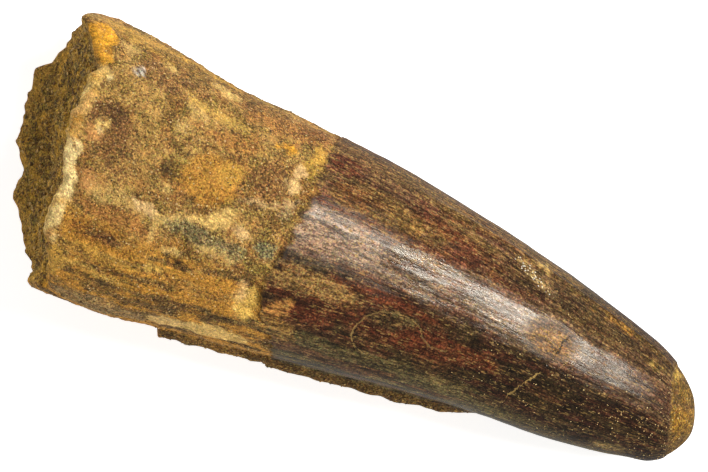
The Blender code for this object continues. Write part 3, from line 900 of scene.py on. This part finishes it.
def tooth_material():
    s = Shader("fossil_tooth")
    place, flow = s.place(), s.attribute("flow", "Vector")
    strokes = s.vector("MULTIPLY", flow, (1 / 4, 1, 1))
    clouds = s.noise(place, 1.1, 3, 0.6)
    fine = s.noise(place, 0.3, 2, 0.7)
    specks = s.noise(place, 0.17, 1, 0.5)
    streaks = s.noise(s.vector("MULTIPLY", flow, (1 / 7, 1, 1)), 0.4, 3, 0.65)
    brushed = s.noise(strokes, 0.2, 3, 0.7)
    grain_away, grain_tone = s.cells(place, 0.19)
    lump_away, lump_tone = s.cells(s.vector("ADD", place, (7.0, 3.0, 5.0)), 0.42)
    stroke_away, stroke_tone = s.cells(strokes, 0.15)
    dot_tone = s.cells(s.vector("MULTIPLY", place, (0.8, 1, 1)), 0.12)[1]

    # Where enamel, the worn tip, the break and the crust are, with crisp ragged edges
    ragged = s.line(fine, 0.6, -0.3)

    def where(name, low, high):
        return s.step(s.plus(s.attribute(name), ragged), low, high)

    on_crown, on_tip = where("crown", -0.06, 0.06), where("worn", -0.05, 0.05)
    on_break, on_crust = where("broken", 0.0, 0.2), where("crust", 0.15, 0.3)
    enamel = s.times(on_crown, s.minus(1.0, s.number("MAXIMUM", on_tip, on_crust)))
    bare = s.minus(1.0, enamel)

    colour = s.attribute("pigment", "Color")
    colour = s.mix(s.times(on_crust, 0.75), colour, "brown")
    colour = s.scaled(colour, s.step(clouds, 0.3, 0.7, 0.8, 1.22))

    # Streaks and brush strokes along the enamel, faint on the root
    light = s.times(s.step(streaks, 0.32, 0.68, 0.5, 1.6), s.lightness(stroke_tone, 0, 0.5, 1.6))
    colour = s.mix(s.line(enamel, 0.7, 0.15), colour, s.scaled(colour, light))

    # Golden sand that clings to the enamel
    dust = s.plus(s.times(s.attribute("dust"), 0.2), s.times(streaks, 0.4))
    fleck = s.times(s.step(s.plus(dust, brushed), 0.87, 0.93), enamel)
    colour = s.mix(s.times(fleck, 0.6), colour, "flecks")

    # Grains of the root, the crust and the break, calmer where the colour is pale
    calm = s.step(s.part(colour, 0), 0.2, 0.7, 1.0, 0.5)
    light = s.times(s.lightness(grain_tone, 0, 0.6, 1.6), s.lightness(lump_tone, 0, 0.9, 1.12))
    colour = s.mix(s.times(s.line(bare, 0.5, 0.35), calm), colour, s.scaled(colour, light))
    rough = s.times(calm, s.times(bare, s.line(on_tip, -0.6, 1.0)))
    glints, pit_shade = s.times(s.step(specks, 0.4, 0.32), rough), s.times(s.step(specks, 0.58, 0.66), rough)
    colour = s.mix(s.times(glints, s.line(on_break, 0.4, 0.35)), colour, s.scaled(colour, 2.1))
    colour = s.mix(s.times(glints, s.times(on_break, 0.6)), colour, "golden")
    # Dark specks: painted shade of small pits
    colour = s.mix(s.times(pit_shade, s.line(on_break, -0.25, 0.6)), colour, s.scaled(colour, 0.35))
    crumbs = s.times(s.step(s.part(grain_tone, 1), 0.975, 0.985), s.step(grain_away, 0.6, 0.4))
    colour = s.mix(s.times(crumbs, s.line(bare, 0.4, 0.1)), colour, "pale")

    # The finest speckle, in lightness and in hue, with less of it on the palest patches
    tint = s.vector("MULTIPLY_ADD", dot_tone, (0.35, 0.35, 0.45), (0.82, 0.82, 0.77))
    light = s.times(s.lightness(grain_tone, 2, 0.65, 1.55), s.lightness(dot_tone, 1, 0.6, 1.45))
    dotted = s.vector("MULTIPLY", s.scaled(colour, light), tint)
    colour = s.mix(s.step(s.part(colour, 0), 0.25, 0.6, 1.0, 0.35), colour, dotted)
    spark = s.times(s.step(s.part(stroke_tone, 1), 0.9, 0.94), s.step(stroke_away, 0.55, 0.35))
    colour = s.mix(s.times(s.times(spark, enamel), 0.28), colour, "straw")

    # Cracks, darkened inside with painted shade, with an edge that is pale here and there
    split = s.plus(s.attribute("split"), s.times(ragged, 0.8))
    gap = s.times(s.step(s.number("ABSOLUTE", split), 0.11, 0.06), s.attribute("dark_split"))
    beside = s.step(s.number("ABSOLUTE", s.plus(split, 0.1)), 0.12, 0.05)
    lip = s.times(s.times(beside, s.attribute("pale_split")), s.step(clouds, 0.36, 0.46))
    colour = s.mix(s.times(lip, 0.7), colour, "straw")
    # Painted shade inside the cracks
    colour = s.mix(s.times(gap, 0.9), colour, "black")

    rough_root = s.step(fine, 0.2, 0.8, 0.75, 1.0)
    polish = s.line(s.attribute("dull"), 0.35, s.step(brushed, 0.35, 0.65, 0.1, 0.25))
    rough_enamel = s.line(fleck, 0.3, polish)

    grains = s.plus(fine, s.times(s.plus(grain_away, lump_away), -0.4))
    grains = s.times(grains, s.line(bare, 1.15, 0.04))
    grooves = s.plus(s.times(streaks, 0.4), s.times(brushed, 0.6))
    grooves = s.times(grooves, s.line(enamel, 0.1, 0.12))
    height = s.minus(s.plus(grains, grooves), s.times(gap, 0.8))

    s.surface_is(Base_Color=colour, Normal=s.bump(height, 0.15))
    s.surface_is(Roughness=s.line(enamel, s.minus(rough_enamel, rough_root), rough_root))
    s.surface_is(IOR=1.6, Specular_IOR_Level=0.32, Specular_Tint=(1, 0.93, 0.8, 1))
    return s.material


def grain_material():
    s = Shader("sand")
    place = s.place()
    light = s.step(s.noise(place, 0.08, 2, 0.6), 0.3, 0.7, 0.75, 1.3)
    stain = s.step(s.noise(place, 0.5), 0.5, 0.65, 0.0, 0.35)
    colour = s.mix(stain, s.scaled(s.attribute("shade", "Color"), light), "khaki")
    roughness = s.step(s.noise(place, 0.1), 0.3, 0.7, 0.5, 0.9)
    s.surface_is(Base_Color=colour, Roughness=roughness, Normal=s.bump(s.noise(place, 0.06), 0.02), IOR=1.54)
    return s.material


def floor_material():
    s = Shader("floor")
    s.surface_is(Base_Color=(FLOOR_GREY, FLOOR_GREY, FLOOR_GREY, 1), Roughness=0.9, Specular_IOR_Level=0.1)
    s.surface_is(Emission_Color=(1, 1, 1, 1), Emission_Strength=FLOOR_GLOW)
    return s.material


def in_scene(name, data):
    """A new object in the scene."""
    thing = bpy.data.objects.new(name, data)
    bpy.context.scene.collection.objects.link(thing)
    return thing


def make_tooth():
    tooth = in_scene("tooth_surface", tooth_mesh())
    tooth.data.materials.append(tooth_material())
    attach(tooth, "root")
    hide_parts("tooth")
    return tooth


def grain_places(tooth):
    """Vertices of the tooth that sand clings to, picked at random, with the kind of sand at each."""
    mesh = tooth.data
    count = len(mesh.vertices)

    def read(name):
        values = np.empty(count)
        mesh.attributes[name].data.foreach_get("value", values)
        return values

    place, normal = np.empty(count * 3), np.empty(count * 3)
    mesh.vertices.foreach_get("co", place)
    mesh.vertex_normals.foreach_get("vector", normal)
    place, normal = place.reshape(-1, 3) / MM, normal.reshape(-1, 3)
    x, v, crown, broken, crust = map(read, ("along", "round", "crown", "broken", "crust"))
    off_floor = place[:, 2] > GRAIN_CLEARANCE
    on_side = (broken < -0.5) & off_floor
    enamel = on_side & (crown > 0.3) & (read("worn") < -0.1) & (crust < 0.1)
    clumps = lumps(place, 2.5, 2)
    chances = {
        "break": (broken > 0.3) * np.ones(count),
        "root": (on_side & (crown < -0.3)) * np.exp(3 * clumps),
        "crust": (on_side & (crust > 0.3)) * np.ones(count),
        "enamel": enamel * smoothstep(6, 34, x) * np.exp(-((v + 2.5) / 6) ** 2) * np.exp(1.5 * clumps),
        "patch": enamel * (away_from(GRAIN_SPOT, x, v) < 1),
    }
    picks = {}
    for kind, chance in chances.items():
        number = GRAIN_KINDS[kind].number
        picks[kind] = CHANCE.choice(count, number, replace=False, p=chance / chance.sum())
    return place, normal, picks


def make_grains(tooth):
    """Sand grains as low faceted domes, all in one piece."""
    place, normal, picks = grain_places(tooth)
    points, shades = [], []
    for kind, chosen in picks.items():
        sand = GRAIN_KINDS[kind]
        for index in chosen:
            up = Vector(normal[index])
            side = up.orthogonal().normalized()
            radius = CHANCE.uniform(*sand.radius)
            turn = CHANCE.uniform(0, math.tau)
            middle = Vector(place[index]) + radius * GRAIN_LIFT * up
            middle += CHANCE.uniform(-GRAIN_SHIFT, GRAIN_SHIFT) * side
            middle += CHANCE.uniform(-GRAIN_SHIFT, GRAIN_SHIFT) * up.cross(side)
            points.append(middle + radius * GRAIN_HEIGHT * up)
            for corner in range(GRAIN_CORNERS):
                angle = turn + math.tau * corner / GRAIN_CORNERS
                out = Matrix.Rotation(angle, 3, up) @ side
                reach = CHANCE.uniform(*CORNER_REACH)
                lift = CHANCE.uniform(-CORNER_LIFT, CORNER_LIFT)
                points.append(middle + radius * (reach * out + lift * up))
            points.append(middle - radius * GRAIN_HEIGHT * up)
            colour = PALETTE[CHANCE.choice(sand.colours)] * CHANCE.uniform(*GRAIN_BRIGHTNESS)
            shades += [colour] * (GRAIN_CORNERS + 2)
    faces = []
    for top in range(0, len(points), GRAIN_CORNERS + 2):
        bottom = top + GRAIN_CORNERS + 1
        for corner in range(GRAIN_CORNERS):
            here, there = top + 1 + corner, top + 1 + (corner + 1) % GRAIN_CORNERS
            faces += [(top, here, there), (bottom, there, here)]
    mesh = bpy.data.meshes.new("sand_grains")
    mesh.from_pydata([tuple(point * MM) for point in points], [], faces)
    shades = np.column_stack([shades, np.ones(len(shades))])
    mesh.attributes.new("shade", "FLOAT_COLOR", "POINT").data.foreach_set("color", shades.ravel())
    mesh.materials.append(grain_material())
    grains = in_scene("sand_grains", mesh)
    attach(grains, "root")


def make_floor():
    half = FLOOR_SIZE / 2
    mesh = bpy.data.meshes.new("floor")
    corners = [(-half, -half, 0), (half, -half, 0), (half, half, 0), (-half, half, 0)]
    mesh.from_pydata(corners, [], [(0, 1, 2, 3)])
    mesh.materials.append(floor_material())
    floor = in_scene("floor", mesh)
    floor.visible_glossy = False


def make_light():
    world = bpy.data.worlds.new("world")
    world.use_nodes = True
    sky = world.node_tree.nodes["Background"].inputs
    sky["Color"].default_value = (1, 1, 1, 1)
    sky["Strength"].default_value = WORLD_LIGHT
    bpy.context.scene.world = world
    data = bpy.data.lights.new("key", "AREA")
    data.shape, data.size, data.size_y = "RECTANGLE", KEY_LENGTH, KEY_WIDTH
    data.energy = KEY_RADIANCE * math.pi * KEY_LENGTH * KEY_WIDTH
    key = in_scene("key", data)
    direction = Vector((math.tan(KEY_TOWARDS_X), math.tan(KEY_TOWARDS_Y), 1)).normalized()
    key.location = direction * KEY_DISTANCE
    across = direction.cross(Vector((1, 0, 0))).normalized()
    along = across.cross(direction)
    key.rotation_euler = Matrix((along, -across, direction)).transposed().to_euler()


def make_camera():
    data = bpy.data.cameras.new("camera")
    data.lens, data.sensor_width = LENS, SENSOR
    data.clip_start, data.clip_end = 0.01, 10
    camera = in_scene("camera", data)
    camera.location = CAMERA_PLACE * MM
    camera.rotation_euler = (0, 0, CAMERA_TURN)
    bpy.context.scene.camera = camera


bpy.context.scene.view_settings.view_transform = "Standard"
make_camera()
make_light()
make_floor()
make_grains(make_tooth())
